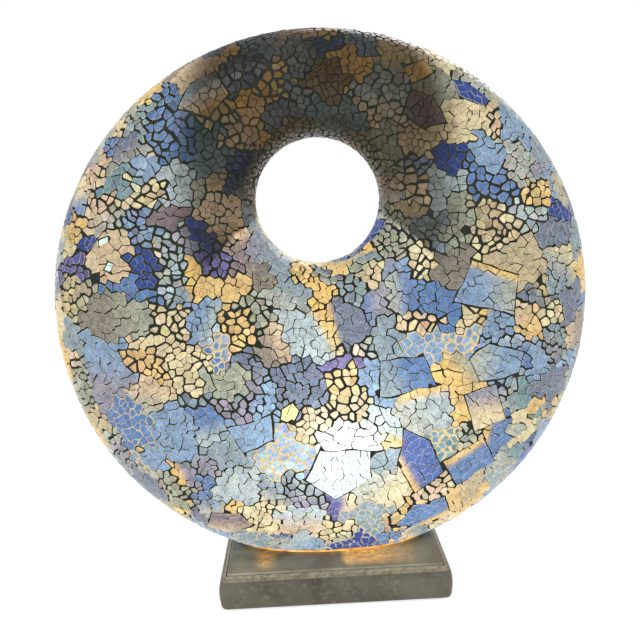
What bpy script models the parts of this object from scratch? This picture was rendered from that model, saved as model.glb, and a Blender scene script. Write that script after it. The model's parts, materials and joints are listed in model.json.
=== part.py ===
"""Mosaic glass table lamp: an off-centre ring shade on a small rectangular plinth.

Metres, +Z up.  The origin is on the surface that the lamp stands on, under the middle of the shade.
The front of the lamp faces -Y.  The bulb screws out of its holder along +Z.
"""
import math

import bmesh
import bpy
from mathutils import Matrix, Vector

MM = 0.001
GAP = 0.3 * MM                      # clearance kept between neighbouring pieces

# ---- driving dimensions -------------------------------------------------------------------
DISC_R = 180.0 * MM                 # outside radius of the ring shade
HOLE_R = 41.7 * MM                  # radius of its hole
HOLE_UP = 70.0 * MM                 # the hole's centre above the disc's centre
DEPTH_TOP = 38.0 * MM               # half thickness of the ring at its top
DEPTH_BOTTOM = 57.0 * MM            # half thickness at its bottom
MOSAIC_T = 3.0 * MM                 # glass and grout layer
SHELL_T = 2.2 * MM                  # moulded shell under it

PAD_T = 1.0 * MM                    # felt pads
SLAB_HALF = (77.5 * MM, 55.5 * MM)  # plinth slab at its widest
SLAB_BOTTOM = PAD_T + GAP
PANEL_HALF = (72.0 * MM, 50.0 * MM)
PANEL_SEAT = 18.4 * MM              # ledge inside the slab that carries the top panel
PANEL_BOTTOM = PANEL_SEAT + GAP
PLINTH_TOP = 24.7 * MM
GASKET_T = 1.2 * MM
SEAT_Z = PLINTH_TOP + GASKET_T + 2 * GAP    # flat cut under the shade
DISC_Z = PLINTH_TOP + 169.6 * MM            # height of the disc's centre

PLATE_HALF = (55.8 * MM, 34.8 * MM)
PLATE_BOTTOM = 6.5 * MM
PLATE_TOP = 8.0 * MM
SHELF_Z = PLATE_TOP + GAP           # underside of the slab's inner shelf
WELL_HALF = (48.0 * MM, 27.0 * MM)  # opening through the shelf
PLATE_SCREW_AT = (52.0 * MM, 31.0 * MM)
PAD_AT = (65.7 * MM, 44.2 * MM)
SHADE_SCREW_X = 35.0 * MM
CORD_HOLE_Z = 13.3 * MM
CORNERS = ((-1, -1), (1, -1), (1, 1), (-1, 1))      # signs of X and Y

CROSSBAR_SIZE = (16.0 * MM, 80.0 * MM, 6.0 * MM)    # before its ends are cut to the shell
CROSSBAR_Z = 31.0 * MM
SHADE_SCREW_HOLE_R = 2.8 * MM
PLATE_SCREW_HOLE_R = 1.8 * MM
PANEL_HOLE_R = 22.0 * MM                            # lets the lamp holder through
TUBE_HOLE_R = 5.3 * MM                              # clears the threaded tube
NUT_FLATS = 14.0 * MM

THREAD_PITCH = 2.82 * MM            # E14
THREAD_AMP = 0.4 * MM
MALE_MID_R = 6.55 * MM
FEMALE_MID_R = MALE_MID_R + GAP
CAP_BOTTOM = 47.3 * MM

RING_STEPS = 40                     # facets round the ring
TUBE_STEPS = 10                     # facets across one half of the ring
ROUND_STEPS = 24                    # facets round turned pieces
THREAD_STEPS = 20                   # facets round the screw threads

parts = None
cutters = None


# ---- scene helpers ------------------------------------------------------------------------
def clear_scene():
    for obj in list(bpy.data.objects):
        bpy.data.objects.remove(obj, do_unlink=True)


def new_collection(name):
    collection = bpy.data.collections.new(name)
    bpy.context.scene.collection.children.link(collection)
    return collection


def material(name, colour, roughness, metallic=0.0):
    mat = bpy.data.materials.get(name) or bpy.data.materials.new(name)
    mat.use_nodes = True
    shader = mat.node_tree.nodes["Principled BSDF"]
    shader.inputs["Base Color"].default_value = (*colour, 1.0)
    shader.inputs["Roughness"].default_value = roughness
    shader.inputs["Metallic"].default_value = metallic
    return mat


def finish(bm, name, mat, smooth=True, location=(0, 0, 0)):
    """Turn a bmesh into a named object of the lamp."""
    bmesh.ops.recalc_face_normals(bm, faces=bm.faces)
    mesh = bpy.data.meshes.new(name)
    bm.to_mesh(mesh)
    bm.free()
    if smooth:
        mesh.shade_smooth()
        mesh.set_sharp_from_angle(angle=math.radians(35))
    obj = bpy.data.objects.new(name, mesh)
    obj.location = location
    obj.data.materials.append(mat)
    parts.objects.link(obj)
    return obj


def hide_cutter(obj):
    """Keep a cutter out of the lamp."""
    for collection in list(obj.users_collection):
        collection.objects.unlink(obj)
    cutters.objects.link(obj)
    obj.hide_render = True
    obj.display_type = "WIRE"
    return obj


def cylinder_cutter(name, radius, start, end, steps=ROUND_STEPS):
    """A cylinder between two points, used only for cutting."""
    start = Vector(start)
    end = Vector(end)
    axis = end - start
    bm = bmesh.new()
    turn = axis.to_track_quat("Z", "Y").to_matrix().to_4x4()
    place = Matrix.Translation((start + end) / 2) @ turn
    bmesh.ops.create_cone(bm, cap_ends=True, segments=steps, radius1=radius, radius2=radius,
                          depth=axis.length, matrix=place)
    return hide_cutter(finish(bm, name, material("cutter", (1, 0, 0), 1.0), smooth=False))


def boolean(obj, cutter, operation="DIFFERENCE"):
    mod = obj.modifiers.new(cutter.name, "BOOLEAN")
    mod.operation = operation
    mod.object = cutter


def add_ring(bm, points):
    return [bm.verts.new(point) for point in points]


def bridge(bm, ring_a, ring_b):
    """Quads between two closed rings with the same number of points."""
    count = len(ring_a)
    for i in range(count):
        j = (i + 1) % count
        bm.faces.new((ring_a[i], ring_a[j], ring_b[j], ring_b[i]))


# ---- shapes -------------------------------------------------------------------------------
def turned(name, profile, mat, steps=ROUND_STEPS, closed=True):
    """Turn a profile of (radius, z) about Z.  Closed profiles make a tube; open ones are capped."""
    bm = bmesh.new()
    rings = []
    for radius, z in profile:
        angles = [2 * math.pi * i / steps for i in range(steps)]
        rings.append(add_ring(bm, [(radius * math.cos(a), radius * math.sin(a), z) for a in angles]))
    for ring_a, ring_b in zip(rings, rings[1:]):
        bridge(bm, ring_a, ring_b)
    if closed:
        bridge(bm, rings[-1], rings[0])
    else:
        bm.faces.new(rings[0])
        bm.faces.new(rings[-1])
    return finish(bm, name, mat)


def rounded_rectangle(half_x, half_y, corner, z, corner_steps=4):
    """Points round a rectangle with round corners."""
    points = []
    centres = ((1, 1, 0), (-1, 1, 90), (-1, -1, 180), (1, -1, 270))
    for sign_x, sign_y, first in centres:
        for step in range(corner_steps + 1):
            a = math.radians(first + 90.0 * step / corner_steps)
            x = sign_x * (half_x - corner) + corner * math.cos(a)
            y = sign_y * (half_y - corner) + corner * math.sin(a)
            points.append((x, y, z))
    return points


def rectangular_frame(name, sections, mat):
    """A closed loop of rounded rectangles: a moulding with an opening through its middle."""
    bm = bmesh.new()
    rings = [add_ring(bm, rounded_rectangle(*section)) for section in sections]
    for ring_a, ring_b in zip(rings, rings[1:] + rings[:1]):
        bridge(bm, ring_a, ring_b)
    return finish(bm, name, mat)


def rectangular_block(name, sections, mat):
    """A stack of rounded rectangles, closed at its bottom and top."""
    bm = bmesh.new()
    rings = [add_ring(bm, rounded_rectangle(*section)) for section in sections]
    for ring_a, ring_b in zip(rings, rings[1:]):
        bridge(bm, ring_a, ring_b)
    bm.faces.new(rings[0])
    bm.faces.new(rings[-1])
    return finish(bm, name, mat)


def flat_plate(name, outlines, bottom, top, mat):
    """A flat outline with its holes, extruded from bottom to top."""
    curve = bpy.data.curves.new(name, "CURVE")
    curve.dimensions = "2D"
    curve.fill_mode = "BOTH"
    curve.extrude = (top - bottom) / 2
    for outline in outlines:
        spline = curve.splines.new("POLY")
        spline.points.add(len(outline) - 1)
        for point, (x, y) in zip(spline.points, outline):
            point.co = (x, y, 0.0, 1.0)
        spline.use_cyclic_u = True
    obj = bpy.data.objects.new(name, curve)
    obj.location = (0, 0, (top + bottom) / 2)
    curve.materials.append(mat)
    parts.objects.link(obj)
    return obj


def circle(radius, x=0.0, y=0.0, steps=ROUND_STEPS):
    angles = [2 * math.pi * i / steps for i in range(steps)]
    return [(x + radius * math.cos(a), y + radius * math.sin(a)) for a in angles]


# ---- the ring shade -----------------------------------------------------------------------
def half_depth(theta):
    """Half thickness of the ring; theta is 0 at the top and pi at the bottom."""
    return DEPTH_TOP + (DEPTH_BOTTOM - DEPTH_TOP) * (1 - math.cos(theta)) / 2


def shade_point(theta, phi):
    """Outer surface: phi is 0 at the hole, pi at the rim, and between them behind the mid-plane."""
    out = (1 - math.cos(phi)) / 2
    radius = HOLE_R + (DISC_R - HOLE_R) * out
    centre_z = DISC_Z + HOLE_UP * (1 - out)
    return Vector((radius * math.sin(theta), half_depth(theta) * math.sin(phi),
                   centre_z + radius * math.cos(theta)))


def shade_inset(theta, phi, inset):
    """The same point moved inwards along the surface's normal."""
    step = 0.0005
    along = shade_point(theta + step, phi) - shade_point(theta - step, phi)
    across = shade_point(theta, phi + step) - shade_point(theta, phi - step)
    normal = across.cross(along).normalized()
    return shade_point(theta, phi) - normal * inset


def tube_arc(theta, side, inset):
    """Points across one half of the ring, from the hole to the rim, GAP / 2 off the mid-plane."""
    points = []
    for j in range(TUBE_STEPS + 1):
        point = shade_inset(theta, math.pi * j / TUBE_STEPS, inset)
        y = GAP / 2 if j in (0, TUBE_STEPS) else point.y
        points.append((point.x, side * y, point.z))
    return points


def half_ring(name, side, outer_inset, inner_inset, mat):
    """One half of a hollow ring, side -1 for the front and +1 for the rear."""
    bm = bmesh.new()
    rings = []
    for i in range(RING_STEPS):
        theta = 2 * math.pi * i / RING_STEPS
        outer = tube_arc(theta, side, outer_inset)
        inner = tube_arc(theta, side, inner_inset)
        rings.append(add_ring(bm, outer + inner[::-1]))
    for ring_a, ring_b in zip(rings, rings[1:] + rings[:1]):
        bridge(bm, ring_a, ring_b)
    return finish(bm, name, mat)


def shade_core(inset):
    """The whole space inside the shade, as a cutter."""
    bm = bmesh.new()
    rings = []
    for i in range(RING_STEPS):
        theta = 2 * math.pi * i / RING_STEPS
        phis = [math.pi * j / TUBE_STEPS for j in range(2 * TUBE_STEPS)]
        rings.append(add_ring(bm, [shade_inset(theta, phi, inset) for phi in phis]))
    for ring_a, ring_b in zip(rings, rings[1:] + rings[:1]):
        bridge(bm, ring_a, ring_b)
    return hide_cutter(finish(bm, "shade_core", material("cutter", (1, 0, 0), 1.0), smooth=False))


def below_seat_cutter():
    """Everything under the flat cut at the bottom of the shade."""
    bm = bmesh.new()
    size = 4 * DEPTH_BOTTOM
    place = Matrix.Translation((0, 0, SEAT_Z - size / 2)) @ Matrix.Scale(size, 4)
    bmesh.ops.create_cube(bm, size=1.0, matrix=place)
    return hide_cutter(finish(bm, "below_seat", material("cutter", (1, 0, 0), 1.0), smooth=False))


def seat_outline(inset, count=20):
    """Outline of the shade where the flat cut meets it, moved inwards by inset."""
    drop = SEAT_Z - DISC_Z
    rim = DISC_R - inset
    hole = HOLE_R + inset
    widest = math.asin(math.sqrt(rim ** 2 - drop ** 2) / rim)
    front = []
    for k in range(count + 1):
        theta = math.pi + widest * math.sin(math.pi * (k / count - 0.5))
        out = (drop - HOLE_UP - hole * math.cos(theta)) / ((rim - hole) * math.cos(theta) - HOLE_UP)
        out = min(out, 1.0)
        radius = hole + (rim - hole) * out
        depth = (half_depth(theta) - inset) * math.sin(math.acos(1 - 2 * out))
        front.append((radius * math.sin(theta), -depth))
    rear = [(x, -y) for x, y in reversed(front[1:-1])]
    return front + rear


def build_shade():
    glass = material("mosaic_glass", (0.35, 0.45, 0.62), 0.25)
    resin = material("shade_resin", (0.86, 0.82, 0.72), 0.45)
    steel = material("zinc_steel", (0.62, 0.62, 0.60), 0.40, 1.0)
    silicone = material("amber_silicone", (0.85, 0.45, 0.08), 0.35)
    seat = below_seat_cutter()
    shell_outer = MOSAIC_T + GAP
    shell_inner = shell_outer + SHELL_T
    for word, side in (("front", -1), ("rear", 1)):
        boolean(half_ring(f"mosaic_{word}", side, 0.0, MOSAIC_T, glass), seat)
        boolean(half_ring(f"shade_shell_{word}", side, shell_outer, shell_inner, resin), seat)
    flat_plate("shade_gasket", (seat_outline(0.8 * MM), seat_outline(shell_inner + 0.3 * MM)),
               PLINTH_TOP + GAP, PLINTH_TOP + GAP + GASKET_T, silicone)
    core = shade_core(shell_inner + GAP)
    for word, side in (("left", -1), ("right", 1)):
        x = side * SHADE_SCREW_X
        bore = cylinder_cutter(f"crossbar_bore_{word}", SHADE_SCREW_HOLE_R, (x, 0, 20 * MM),
                               (x, 0, 50 * MM), 16)
        bar = crossbar(f"shade_crossbar_{word}", x, steel)
        boolean(bar, core, "INTERSECT")
        boolean(bar, bore)
        screw = turned(f"shade_screw_{word}", pan_screw(2.5 * MM, 4.6 * MM, 3.0 * MM, PANEL_SEAT, 33 * MM),
                       steel, 16, closed=False)
        screw.location.x = x


def crossbar(name, x, mat):
    """A flat bar across the shade's inside; its ends are cut to the shell's shape."""
    bm = bmesh.new()
    place = Matrix.Translation((x, 0, CROSSBAR_Z)) @ Matrix.Diagonal((*CROSSBAR_SIZE, 1.0))
    bmesh.ops.create_cube(bm, size=1.0, matrix=place)
    return finish(bm, name, mat, smooth=False)


def pan_screw(shank_r, head_r, head_t, under_head, tip):
    """Open profile of a screw that points up, from the crown of its head to its tip."""
    bottom = under_head - head_t
    return [(head_r * 0.55, bottom), (head_r * 0.9, bottom + head_t * 0.2),
            (head_r, bottom + head_t * 0.55), (head_r, under_head), (shank_r, under_head),
            (shank_r, tip - shank_r * 0.6), (shank_r * 0.5, tip)]


# ---- the plinth ---------------------------------------------------------------------------
def build_slab():
    """Slab with bulging sides, a sloping ledge, a pocket for the panel and a hollow underneath."""
    silver = material("antique_silver", (0.42, 0.38, 0.31), 0.45, 0.8)
    side = ((2.4, 1.3), (1.5, 2.0), (0.8, 4.0), (0.25, 8.0), (0.0, 12.0), (0.25, 16.0), (0.9, 19.3),
            (1.3, 20.7), (1.9, 21.3), (3.2, 21.9), (4.2, 22.8), (4.9, 23.4))
    corner = 4.5 * MM
    sections = []
    for inset, z in side:
        inset *= MM
        sections.append((SLAB_HALF[0] - inset, SLAB_HALF[1] - inset, corner - inset * 0.75, z * MM))
    pocket = (PANEL_HALF[0] + 2 * GAP, PANEL_HALF[1] + 2 * GAP, 0.8 * MM)
    sections.append((*pocket, PANEL_SEAT))
    sections.append((*WELL_HALF, 5 * MM, PANEL_SEAT))
    sections.append((*WELL_HALF, 5 * MM, SHELF_Z))
    recess = (PLATE_HALF[0] + 2 * GAP, PLATE_HALF[1] + 2 * GAP, 5 * MM)
    sections.append((*recess, SHELF_Z))
    sections.append((*recess, SLAB_BOTTOM))
    slab = rectangular_frame("plinth_slab", sections, silver)
    cord = cylinder_cutter("cord_hole", 3.5 * MM, (0, 20 * MM, CORD_HOLE_Z), (0, 60 * MM, CORD_HOLE_Z), 20)
    flange = cylinder_cutter("cord_flange_recess", 5.8 * MM, (0, 53.6 * MM, CORD_HOLE_Z),
                             (0, 60 * MM, CORD_HOLE_Z), 20)
    boolean(slab, cord)
    boolean(slab, flange)
    for sign_x, sign_y in CORNERS:
        x = sign_x * PLATE_SCREW_AT[0]
        y = sign_y * PLATE_SCREW_AT[1]
        hole = cylinder_cutter(f"slab_screw_hole_{sign_x}_{sign_y}", PLATE_SCREW_HOLE_R,
                               (x, y, 5 * MM), (x, y, 17 * MM), 12)
        boolean(slab, hole)


def build_panel():
    """Raised top panel with a round edge, cut for the holder and the shade's two screws."""
    silver = material("antique_silver_panel", (0.46, 0.42, 0.35), 0.42, 0.8)
    edge = 1.2 * MM
    steps = 4
    sections = [(*PANEL_HALF, 1.2 * MM, PANEL_BOTTOM)]
    for k in range(steps + 1):
        a = math.pi / 2 * k / steps
        inset = edge * (1 - math.cos(a))
        z = PLINTH_TOP - edge + edge * math.sin(a)
        sections.append((PANEL_HALF[0] - inset, PANEL_HALF[1] - inset, 1.4 * MM - inset, z))
    panel = rectangular_block("plinth_top_panel", sections, silver)
    boolean(panel, cylinder_cutter("panel_hole", PANEL_HOLE_R, (0, 0, 10 * MM), (0, 0, 40 * MM)))
    for side in (-1, 1):
        x = side * SHADE_SCREW_X
        boolean(panel, cylinder_cutter(f"panel_screw_hole_{side}", SHADE_SCREW_HOLE_R,
                                       (x, 0, 10 * MM), (x, 0, 40 * MM), 16))


def build_underside():
    steel = material("zinc_steel", (0.62, 0.62, 0.60), 0.40, 1.0)
    felt = material("felt", (0.03, 0.03, 0.03), 0.95)
    rubber = material("black_rubber", (0.02, 0.02, 0.02), 0.7)
    outline = [(x, y) for x, y, z in rounded_rectangle(*PLATE_HALF, 4.6 * MM, 0.0)]
    holes = [circle(TUBE_HOLE_R, steps=24)]
    for sign_x, sign_y in CORNERS:
        x = sign_x * PLATE_SCREW_AT[0]
        y = sign_y * PLATE_SCREW_AT[1]
        holes.append(circle(PLATE_SCREW_HOLE_R, x, y, 12))
    flat_plate("bottom_plate", [outline] + holes, PLATE_BOTTOM, PLATE_TOP, steel)
    for number, (sign_x, sign_y) in enumerate(CORNERS, 1):
        screw = turned(f"plate_screw_{number}",
                       pan_screw(1.5 * MM, 2.9 * MM, 1.8 * MM, PLATE_BOTTOM - GAP, 16 * MM), steel, 12,
                       closed=False)
        screw.location = (sign_x * PLATE_SCREW_AT[0], sign_y * PLATE_SCREW_AT[1], 0)
        pad = turned(f"foot_pad_{number}", [(5.8 * MM, 0), (6 * MM, 0.2 * MM), (6 * MM, PAD_T)], felt, 24,
                     closed=False)
        pad.location = (sign_x * PAD_AT[0], sign_y * PAD_AT[1], 0)
    bush = turned("cord_inlet_bush",
                  [(2.3 * MM, 0), (5.0 * MM, 0), (5.5 * MM, 0.5 * MM), (5.5 * MM, 1.5 * MM),
                   (3.2 * MM, 1.5 * MM), (3.2 * MM, 12 * MM), (2.3 * MM, 12 * MM)], rubber, 20)
    bush.rotation_euler = (math.pi / 2, 0, 0)
    bush.location = (0, SLAB_HALF[1] - 0.1 * MM, CORD_HOLE_Z)


# ---- the lamp holder ----------------------------------------------------------------------
def hex_nut(name, bottom, top, mat):
    """A hexagon nut round the threaded tube."""
    corner_r = NUT_FLATS / math.cos(math.radians(30)) / 2
    outline = circle(corner_r, steps=6)
    return flat_plate(name, (outline, circle(TUBE_HOLE_R, steps=24)), bottom, top, mat)


def build_holder():
    brass = material("brass", (0.72, 0.53, 0.24), 0.30, 1.0)
    steel = material("zinc_steel", (0.62, 0.62, 0.60), 0.40, 1.0)
    bakelite = material("black_phenolic", (0.025, 0.02, 0.018), 0.35)
    ceramic = material("cream_ceramic", (0.80, 0.76, 0.66), 0.40)
    turned("threaded_tube", tube_profile(3.6, 5.0, 3.4, 26.0), steel, 24)
    hex_nut("lock_nut_lower", 3.2 * MM, PLATE_BOTTOM - GAP, steel)
    turned("lock_washer", tube_profile(5.3, 9.0, 8.3, 9.3), steel, 24)
    hex_nut("lock_nut_upper", 9.6 * MM, 12.6 * MM, steel)
    turned("holder_cap", scaled([(5.3, 15.0), (8.0, 15.0), (8.0, 19.5), (9.5, 22.0), (12.2, 24.5),
                                 (13.0, 27.5), (13.0, 36.0), (10.8, 36.0), (10.8, 27.5), (9.5, 26.5),
                                 (5.3, 26.5)]), bakelite)
    turned("holder_body", scaled([(10.8, 36.3), (13.0, 36.3), (13.0, 52.0), (12.4, 54.0), (12.4, 63.5),
                                  (11.8, 65.5), (11.0, 66.0), (8.6, 66.0), (8.3, 65.6), (8.3, 61.3),
                                  (10.8, 61.3)]), bakelite)
    turned("holder_block", scaled([(2.6, 28.0), (10.2, 28.0), (10.2, 37.5), (2.6, 37.5)]), ceramic)
    turned("holder_contact", scaled([(1.2, 30.0), (2.0, 30.0), (2.0, 38.0), (4.4, 38.6), (3.4, 40.6),
                                     (2.2, 41.4), (1.2, 41.5)]), brass, 20)
    bottom = CAP_BOTTOM - 1.0 * MM
    top = 61.0 * MM
    threaded_sleeve("holder_screw_shell", levels_between(bottom, top), FEMALE_MID_R, bottom, top, 1.0,
                    7.7 * MM, brass)


def scaled(profile):
    return [(radius * MM, z * MM) for radius, z in profile]


def tube_profile(inner, outer, bottom, top):
    return scaled([(inner, bottom), (outer, bottom), (outer, top), (inner, top)])


# ---- the screw thread ---------------------------------------------------------------------
def thread_radius(angle, z, middle, start, end, plain):
    """Radius of a round right-hand thread that runs out to a plain cylinder at both ends.

    plain is -1 where the plain part is as narrow as the thread's root, +1 where it is as wide
    as its crest.
    """
    fade = min(1.0, max(0.0, (z - start) / THREAD_PITCH), max(0.0, (end - z) / THREAD_PITCH))
    wave = math.cos(2 * math.pi * z / THREAD_PITCH - angle)
    return middle + THREAD_AMP * (fade * wave + (1 - fade) * plain)


def threaded_sleeve(name, levels, middle, start, end, plain, back_r, mat):
    """A sleeve with a thread on one side and a plain wall of radius back_r on the other."""
    bm = bmesh.new()
    rings = []
    for z in levels:
        points = []
        for i in range(THREAD_STEPS):
            a = 2 * math.pi * i / THREAD_STEPS
            radius = thread_radius(a, z, middle, start, end, plain)
            points.append((radius * math.cos(a), radius * math.sin(a), z))
        rings.append(add_ring(bm, points))
    for z in (levels[-1], levels[0]):
        wall = circle(back_r, steps=THREAD_STEPS)
        rings.append(add_ring(bm, [(x, y, z) for x, y in wall]))
    for ring_a, ring_b in zip(rings, rings[1:] + rings[:1]):
        bridge(bm, ring_a, ring_b)
    return finish(bm, name, mat)


# ---- the bulb -----------------------------------------------------------------------------
def levels_between(bottom, top):
    """Heights spaced at a fifth of the thread's pitch."""
    count = round((top - bottom) / (THREAD_PITCH / 5))
    return [bottom + (top - bottom) * k / count for k in range(count + 1)]


def build_bulb():
    """Candle bulb, 35 mm across and 100 mm long, on the axis X = Y = 0."""
    tin = material("tin_solder", (0.70, 0.70, 0.68), 0.35, 1.0)
    vitrite = material("black_glass", (0.01, 0.01, 0.012), 0.15)
    nickel = material("nickel_cap", (0.68, 0.66, 0.60), 0.28, 1.0)
    glass = material("bulb_glass", (0.92, 0.92, 0.90), 0.08)
    filament = material("filament", (0.90, 0.62, 0.20), 0.5)
    turned("bulb_contact", scaled([(0.7, 42.0), (1.8, 42.3), (2.4, 43.1), (2.4, 43.6)]), tin, 20,
           closed=False)
    turned("bulb_insulator", scaled([(2.6, 43.9), (5.5, 46.2), (5.5, 47.0), (2.6, 47.0)]), vitrite, 24)
    bulb_cap(nickel)
    turned("bulb_glass", glass_profile(), glass)
    turned("bulb_stem", scaled([(1.0, 60.0), (5.2, 60.0), (3.4, 66.0), (2.0, 72.0), (1.6, 78.0),
                                (1.0, 78.0)]), glass, 16)
    bulb_filament("bulb_filament", filament)


def bulb_cap(mat):
    """Screw cap: the bulb's outside thread below a plain skirt."""
    thread_end = 59.0 * MM
    levels = levels_between(CAP_BOTTOM, thread_end) + [62.0 * MM, 64.0 * MM]
    threaded_sleeve("bulb_cap", levels, MALE_MID_R, CAP_BOTTOM, thread_end, -1.0, 5.7 * MM, mat)


def glass_profile():
    """Closed profile of the bulb's thin glass, open at the neck."""
    wall = 0.8
    outside = [(6.15, 64.3), (6.9, 67.5), (9.2, 73.0), (12.6, 79.0), (15.6, 85.5), (17.2, 92.0),
               (17.5, 97.5), (16.6, 105.0), (14.3, 113.5), (11.2, 122.0), (8.0, 129.5), (5.2, 135.5),
               (2.8, 139.8), (1.2, 141.6)]
    inside = [(radius - wall, z) for radius, z in outside[:-2]]
    inside.append((1.9, 138.6))
    inside.append((1.2, 139.6))
    return scaled(outside + inside[::-1])


def bulb_filament(name, mat):
    """Zigzag filament round a circle above the stem."""
    curve = bpy.data.curves.new(name, "CURVE")
    curve.dimensions = "3D"
    curve.bevel_depth = 0.5 * MM
    curve.bevel_resolution = 2
    curve.use_fill_caps = True
    count = 13
    spline = curve.splines.new("POLY")
    spline.points.add(count - 1)
    for k, point in enumerate(spline.points):
        a = 2 * math.pi * k / count
        z = (80.0 if k % 2 == 0 else 108.0) * MM
        point.co = (6.0 * MM * math.cos(a), 6.0 * MM * math.sin(a), z, 1.0)
    obj = bpy.data.objects.new(name, curve)
    curve.materials.append(mat)
    parts.objects.link(obj)


def main():
    global parts, cutters
    clear_scene()
    parts = new_collection("mosaic_lamp")
    cutters = new_collection("cutters")
    build_shade()
    build_slab()
    build_panel()
    build_underside()
    build_holder()
    build_bulb()


main()
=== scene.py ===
"""The looks of the mosaic glass table lamp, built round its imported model.

The shade is a ring covered with crackle glass: patches of coloured glass, each broken into small
shards, lie in dark grout over a shell that a bulb lights from inside.  Everything is in metres in the
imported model's frame: +Z up, the front of the lamp towards -Y.
"""
import json
import math

import bmesh
import bpy
import numpy as np
from mathutils import Matrix, Vector
from mathutils.kdtree import KDTree


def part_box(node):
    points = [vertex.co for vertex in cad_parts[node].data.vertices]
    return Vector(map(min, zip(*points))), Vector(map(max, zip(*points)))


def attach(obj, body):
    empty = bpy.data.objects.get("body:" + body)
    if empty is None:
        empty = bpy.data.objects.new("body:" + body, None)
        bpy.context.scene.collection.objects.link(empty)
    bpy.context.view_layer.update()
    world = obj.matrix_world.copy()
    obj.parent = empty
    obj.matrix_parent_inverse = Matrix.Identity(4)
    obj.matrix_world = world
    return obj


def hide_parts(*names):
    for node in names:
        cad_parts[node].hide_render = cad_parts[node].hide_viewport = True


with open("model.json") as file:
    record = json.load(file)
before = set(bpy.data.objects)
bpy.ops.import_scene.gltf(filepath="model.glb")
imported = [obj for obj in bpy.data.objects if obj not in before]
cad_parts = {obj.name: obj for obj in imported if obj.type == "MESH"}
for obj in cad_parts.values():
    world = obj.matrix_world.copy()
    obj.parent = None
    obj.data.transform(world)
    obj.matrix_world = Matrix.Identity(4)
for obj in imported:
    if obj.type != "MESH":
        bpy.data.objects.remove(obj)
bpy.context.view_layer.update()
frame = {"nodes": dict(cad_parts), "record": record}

MM = 0.001

# ---- the ring shade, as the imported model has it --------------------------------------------
FRONT_LOW, FRONT_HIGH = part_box("mosaic_front")
DISC_R = (FRONT_HIGH.x - FRONT_LOW.x) / 2
DISC_Z = FRONT_HIGH.z - DISC_R        # height of the disc's centre
SEAT_Z = FRONT_LOW.z                  # flat cut under the shade
HOLE_R = 41.7 * MM
HOLE_UP = 70.0 * MM                   # the hole's centre above the disc's centre
DEPTH_TOP = 38.0 * MM                 # half thickness of the ring at its top
DEPTH_BOTTOM = 57.0 * MM

# ---- the mosaic ----------------------------------------------------------------------------
SEED = 11
GLASS_T = 1.6 * MM                    # thickness of a shard
GLASS_PROUD = 0.15 * MM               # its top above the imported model's surface
UNEVEN = 0.12 * MM                    # how far that height varies
BEVEL = 0.28 * MM
GROUT_SINK = 0.75 * MM                # grout below that surface
GROUT_T = 1.8 * MM
BED_SINK = 0.35 * MM                  # clear adhesive that lights the cracks of some patches
BED_T = 0.9 * MM
LIT_CRACKS = 0.09                     # share of the low, cool patches that have it
CELL_R = 8.0 * MM                     # no shard reaches further than this from its middle
REACH = 16.0 * MM                     # neighbours this near can share an edge with a shard
SMALLEST_SHARD = 4.5 * MM * MM        # the grout shows where a smaller one would lie
SHORTEST_SIDE = 0.35 * MM
LONGEST_SIDE = 3.4 * MM               # longer sides get a point between, so that they can wander
FIRST_CELL_SIDES = 14
LAID_REACH = 24.0 * MM                # how far from its own plane a laid piece acts
AMBER_START = 1.5 * MM                # how far the amber along a side reaches into the glass
AMBER_END = 6.5 * MM

# hairline and main cracks, moat to other patches, shard spacing, corner rounding, shard tilt, tone
STYLES = {
    "tight": dict(hair=0.24 * MM, crack=0.60 * MM, moat=0.85 * MM, spacing=3.9 * MM,
                  round=0.0, tilt=0.010, vary=0.05),
    "tile": dict(hair=0.22 * MM, crack=0.50 * MM, moat=0.75 * MM, spacing=4.1 * MM,
                 round=0.0, tilt=0.006, vary=0.04),
    "cluster": dict(hair=0.30 * MM, crack=0.90 * MM, moat=1.10 * MM, spacing=4.1 * MM,
                    round=0.50 * MM, tilt=0.018, vary=0.08),
    "loose": dict(hair=0.34 * MM, crack=1.20 * MM, moat=1.45 * MM, spacing=4.6 * MM,
                  round=0.50 * MM, tilt=0.030, vary=0.12),
    "neck": dict(hair=0.45 * MM, crack=0.80 * MM, moat=1.00 * MM, spacing=3.3 * MM,
                 round=0.35 * MM, tilt=0.035, vary=0.16),
}
GROUP_SPACING = 9.5 * MM              # main cracks part groups of shards about this size
LOOSE_GROUP_SPACING = 5.5 * MM

# colours of the lit glass, and the colour of a painted glint, as sRGB
GLASS = {
    "cobalt": (46, 74, 142),
    "cobaltlight": (78, 102, 162),
    "violetdeep": (92, 92, 150),
    "violet": (124, 116, 164),
    "blue": (92, 126, 174),
    "sky": (128, 156, 186),
    "steel": (134, 152, 162),
    "slate": (108, 120, 142),
    "pale": (170, 184, 188),
    "ice": (192, 212, 224),
    "lavender": (142, 142, 158),
    "teal": (110, 142, 150),
    "grey": (168, 174, 164),
    "sage": (158, 162, 144),
    "taupe": (132, 126, 116),
    "mauve": (130, 114, 122),
    "olive": (132, 116, 84),
    "tan": (186, 170, 136),
    "peach": (208, 184, 152),
    "cream": (216, 200, 160),
    "gold": (218, 184, 122),
    "amber": (226, 188, 112),
    "yellow": (238, 222, 112),
    "white": (236, 240, 240),
    # painted glint: the near-white of a light reflected off a shard, not a colour of the glass
    "painted_glint": (214, 255, 244),
}
COOL = ("cobalt", "cobaltlight", "violetdeep", "violet", "blue", "sky", "steel", "slate", "pale",
        "ice", "lavender", "teal")
RIM_LIGHT = (232, 214, 170)           # light that leaks along a shard's bevelled rim
RIM_SHARE = 0.38
CRACK_LIGHT = (206, 188, 146)
SHADE_TINT = np.array([1.40, 1.00, 0.50])  # light that has passed the tube of the hole is browner

LAID = []


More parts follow.
